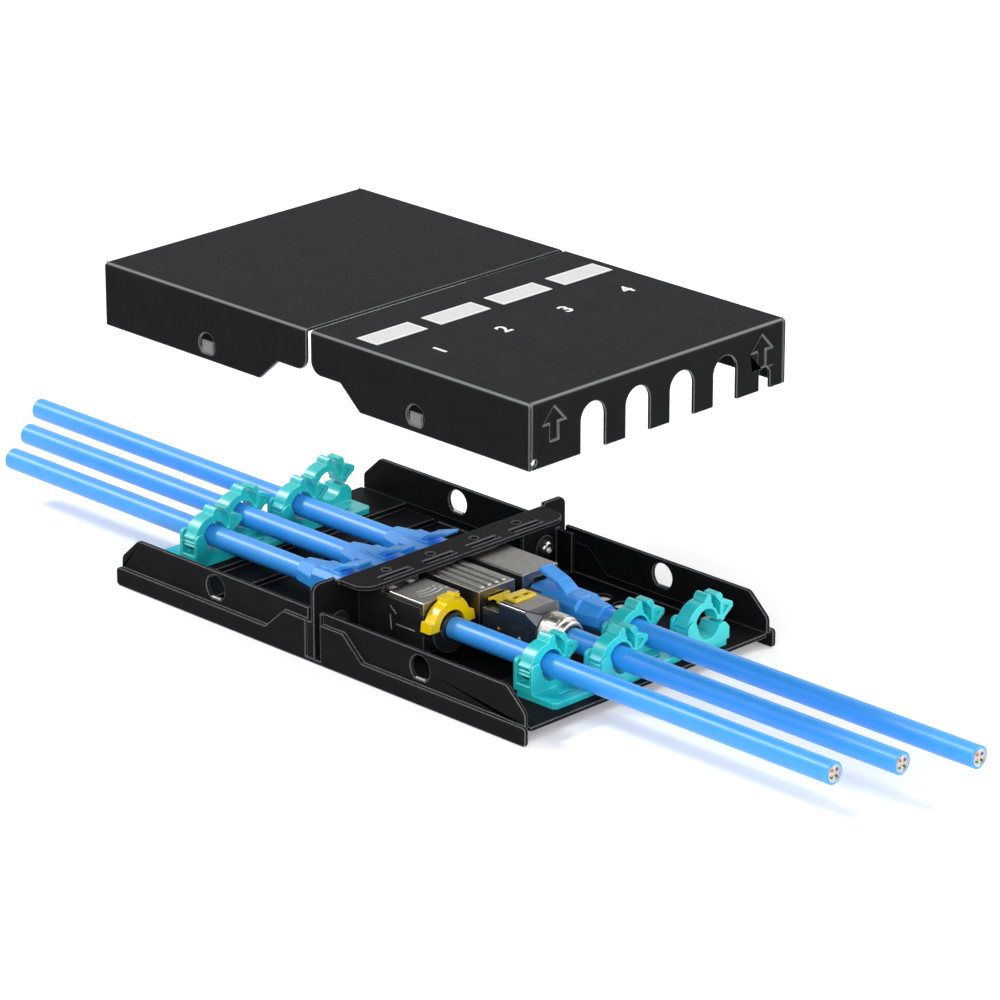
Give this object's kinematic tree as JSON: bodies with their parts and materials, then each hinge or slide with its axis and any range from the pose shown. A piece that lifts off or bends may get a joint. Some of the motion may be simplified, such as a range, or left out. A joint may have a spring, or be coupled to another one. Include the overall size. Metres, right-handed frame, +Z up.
{
  "type": "blank patch panel",
  "caption": "Small cable splice and patch housing: stepped tray with side walls, divider plate with port windows, ratchet cable clips, plugged cables and two lift-off covers.",
  "frame": {"origin": "bottom centre of the tray, on the surface that it stands on, in the plane of the divider plate", "axes": "+X along the cables towards the labelled cover, +Y across the lanes from port 1 to port 4, +Z up"},
  "size_m": [0.454, 0.12, 0.1181],
  "materials": {
    "powder_coated_steel": "satin powder coat",
    "teal_nylon": "moulded, satin",
    "blue_jacket": "extruded jacket, satin",
    "blue_boot": "soft moulded boot",
    "clear_polycarbonate": "clear moulding",
    "label_film": "printed film",
    "zinc_plated_steel": "bright zinc plate",
    "black_plastic": "moulded",
    "yellow_plastic": "moulded, glossy",
    "dark_plastic": "moulded",
    "nickel_zinc_casting": "satin nickel plate",
    "grey_plastic": "moulded"
  },
  "bodies": {
    "panel": {"base_tray": "powder_coated_steel", "divider_bracket": "powder_coated_steel", "divider_washers": "black_plastic", "divider_screws": "zinc_plated_steel", "divider_nuts": "zinc_plated_steel", "jack_1_housing": "dark_plastic", "jack_1_cap": "nickel_zinc_casting", "jack_1_gland": "dark_plastic", "jack_1_clamp_ring": "yellow_plastic", "coupler_2": "nickel_zinc_casting", "coupler_3": "nickel_zinc_casting", "field_plug_body": "nickel_zinc_casting", "field_plug_cap": "grey_plastic", "field_plug_latch": "yellow_plastic", "field_plug_collar": "nickel_zinc_casting", "field_plug_gland": "nickel_zinc_casting", "plug_left_1": "clear_polycarbonate", "boot_left_1": "blue_boot", "plug_left_2": "clear_polycarbonate", "boot_left_2": "blue_boot", "plug_left_3": "clear_polycarbonate", "boot_left_3": "blue_boot", "plug_right_3": "clear_polycarbonate", "boot_right_3": "blue_boot", "cable_left_1": "blue_jacket", "cable_left_2": "blue_jacket", "cable_left_3": "blue_jacket", "cable_right_1": "blue_jacket", "cable_right_2": "blue_jacket", "cable_right_3": "blue_jacket", "clip_base_left_1": "teal_nylon", "clip_base_left_2": "teal_nylon", "clip_base_left_3": "teal_nylon", "clip_base_left_4": "teal_nylon", "clip_base_right_1": "teal_nylon", "clip_base_right_2": "teal_nylon", "clip_base_right_3": "teal_nylon", "clip_base_right_4": "teal_nylon"},
    "arm_left_1": {"clip_arm_left_1": "teal_nylon"},
    "arm_left_2": {"clip_arm_left_2": "teal_nylon"},
    "arm_left_3": {"clip_arm_left_3": "teal_nylon"},
    "arm_left_4": {"clip_arm_left_4": "teal_nylon"},
    "arm_right_1": {"clip_arm_right_1": "teal_nylon"},
    "arm_right_2": {"clip_arm_right_2": "teal_nylon"},
    "arm_right_3": {"clip_arm_right_3": "teal_nylon"},
    "arm_right_4": {"clip_arm_right_4": "teal_nylon"},
    "cover_left": {"cover_left": "powder_coated_steel"},
    "cover_right": {"cover_right": "powder_coated_steel", "label_1": "label_film", "label_2": "label_film", "label_3": "label_film", "label_4": "label_film"}
  },
  "joints": [
    {"name": "clip_hinge_left_1", "type": "hinge", "parent": "panel", "child": "arm_left_1", "pos_m": [-0.08355, -0.0229, 0.0154], "axis": [-1, 0, 0], "range_deg": [0, 70]},
    {"name": "clip_hinge_left_2", "type": "hinge", "parent": "panel", "child": "arm_left_2", "pos_m": [-0.09185, -0.0023, 0.0154], "axis": [-1, 0, 0], "range_deg": [0, 70]},
    {"name": "clip_hinge_left_3", "type": "hinge", "parent": "panel", "child": "arm_left_3", "pos_m": [-0.08355, 0.0183, 0.0154], "axis": [-1, 0, 0], "range_deg": [0, 70]},
    {"name": "clip_hinge_left_4", "type": "hinge", "parent": "panel", "child": "arm_left_4", "pos_m": [-0.09185, 0.0389, 0.0154], "axis": [-1, 0, 0], "range_deg": [0, 70]},
    {"name": "clip_hinge_right_1", "type": "hinge", "parent": "panel", "child": "arm_right_1", "pos_m": [0.08015, -0.0229, 0.0154], "axis": [-1, 0, 0], "range_deg": [0, 70]},
    {"name": "clip_hinge_right_2", "type": "hinge", "parent": "panel", "child": "arm_right_2", "pos_m": [0.09215, -0.0023, 0.0154], "axis": [-1, 0, 0], "range_deg": [0, 70]},
    {"name": "clip_hinge_right_3", "type": "hinge", "parent": "panel", "child": "arm_right_3", "pos_m": [0.08015, 0.0183, 0.0154], "axis": [-1, 0, 0], "range_deg": [0, 70]},
    {"name": "clip_hinge_right_4", "type": "hinge", "parent": "panel", "child": "arm_right_4", "pos_m": [0.09215, 0.0389, 0.0154], "axis": [-1, 0, 0], "range_deg": [0, 70]},
    {"name": "cover_lift_left", "type": "slide", "parent": "panel", "child": "cover_left", "axis": [0, 0, 1], "range_m": [-0.088, 0]},
    {"name": "cover_lift_right", "type": "slide", "parent": "panel", "child": "cover_right", "axis": [0, 0, 1], "range_m": [-0.088, 0]}
  ]
}
